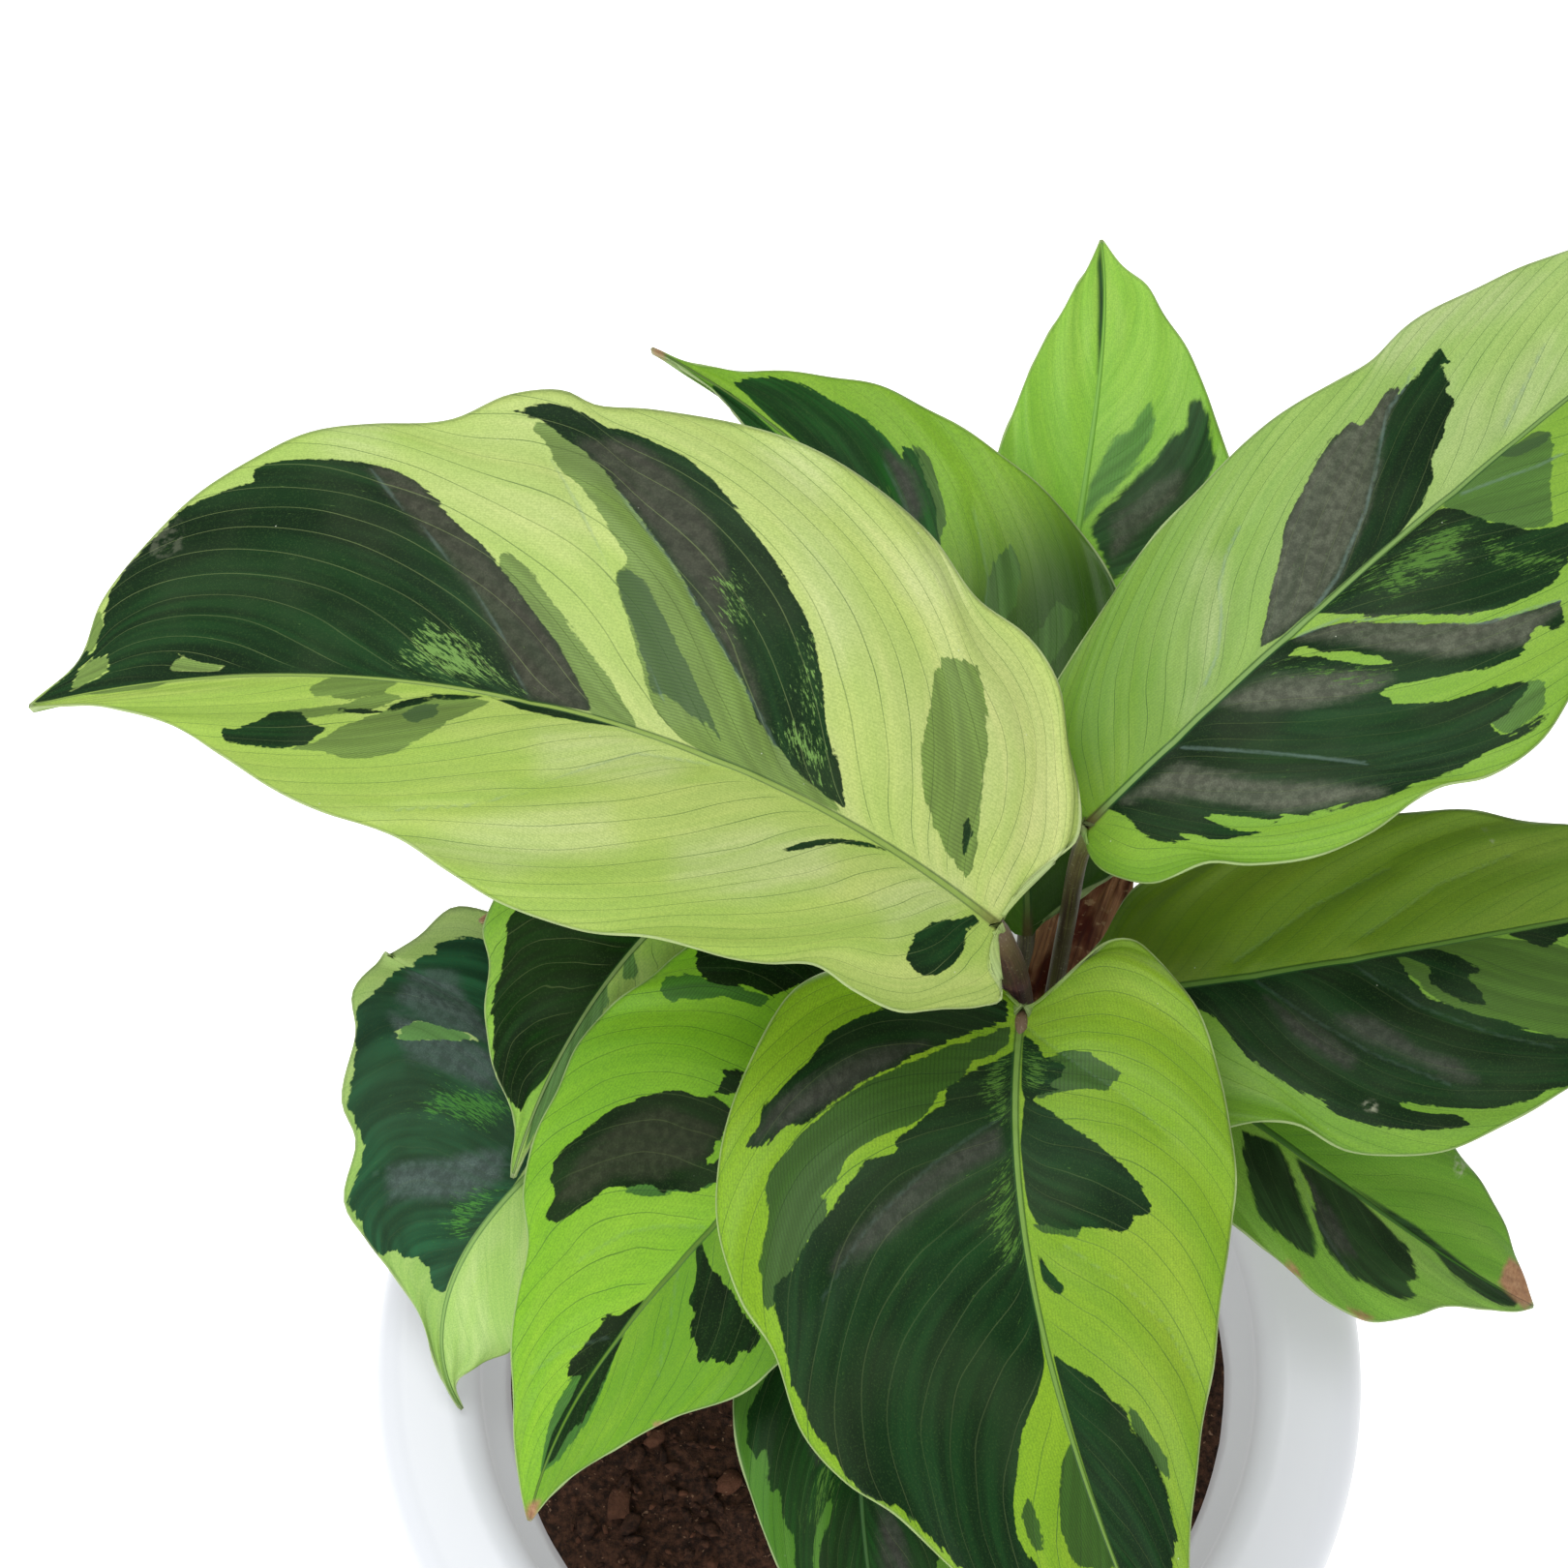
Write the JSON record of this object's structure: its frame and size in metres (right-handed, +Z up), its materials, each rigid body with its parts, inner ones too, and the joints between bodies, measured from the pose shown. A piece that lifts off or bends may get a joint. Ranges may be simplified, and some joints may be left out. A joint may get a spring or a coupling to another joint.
{
  "type": "potted prayer plant",
  "caption": "Potted prayer plant: broad variegated leaves on bowed stems, rising from potting mix in a thick-rimmed white planter.",
  "frame": {"origin": "centre of the pot's flat base, on the surface it stands on", "axes": "+Z up; -Y is the side seen in front; +X to the right"},
  "size_m": [0.4173, 0.3719, 0.3469],
  "materials": {
    "pot_glaze": "smooth white, satin",
    "potting_mix": "dark crumbly potting mix with bark",
    "leaf": "satin leaf, lime and cream green with dark green and grey-brown markings",
    "stem": "satin olive-brown stem",
    "dry_sheath": "papery dried sheath"
  },
  "bodies": {
    "root": {"pot": "pot_glaze", "soil": "potting_mix", "leaf_01": "leaf", "petiole_01": "stem", "leaf_02": "leaf", "petiole_02": "stem", "leaf_03": "leaf", "petiole_03": "stem", "leaf_04": "leaf", "petiole_04": "stem", "leaf_05": "leaf", "petiole_05": "stem", "leaf_06": "leaf", "petiole_06": "stem", "leaf_07": "leaf", "petiole_07": "stem", "leaf_08": "leaf", "petiole_08": "stem", "leaf_09": "leaf", "petiole_09": "stem", "leaf_10": "leaf", "petiole_10": "stem", "leaf_11": "leaf", "petiole_11": "stem", "leaf_12": "leaf", "petiole_12": "stem", "dry_sheath_1": "dry_sheath", "dry_sheath_2": "dry_sheath"}
  },
  "joints": []
}
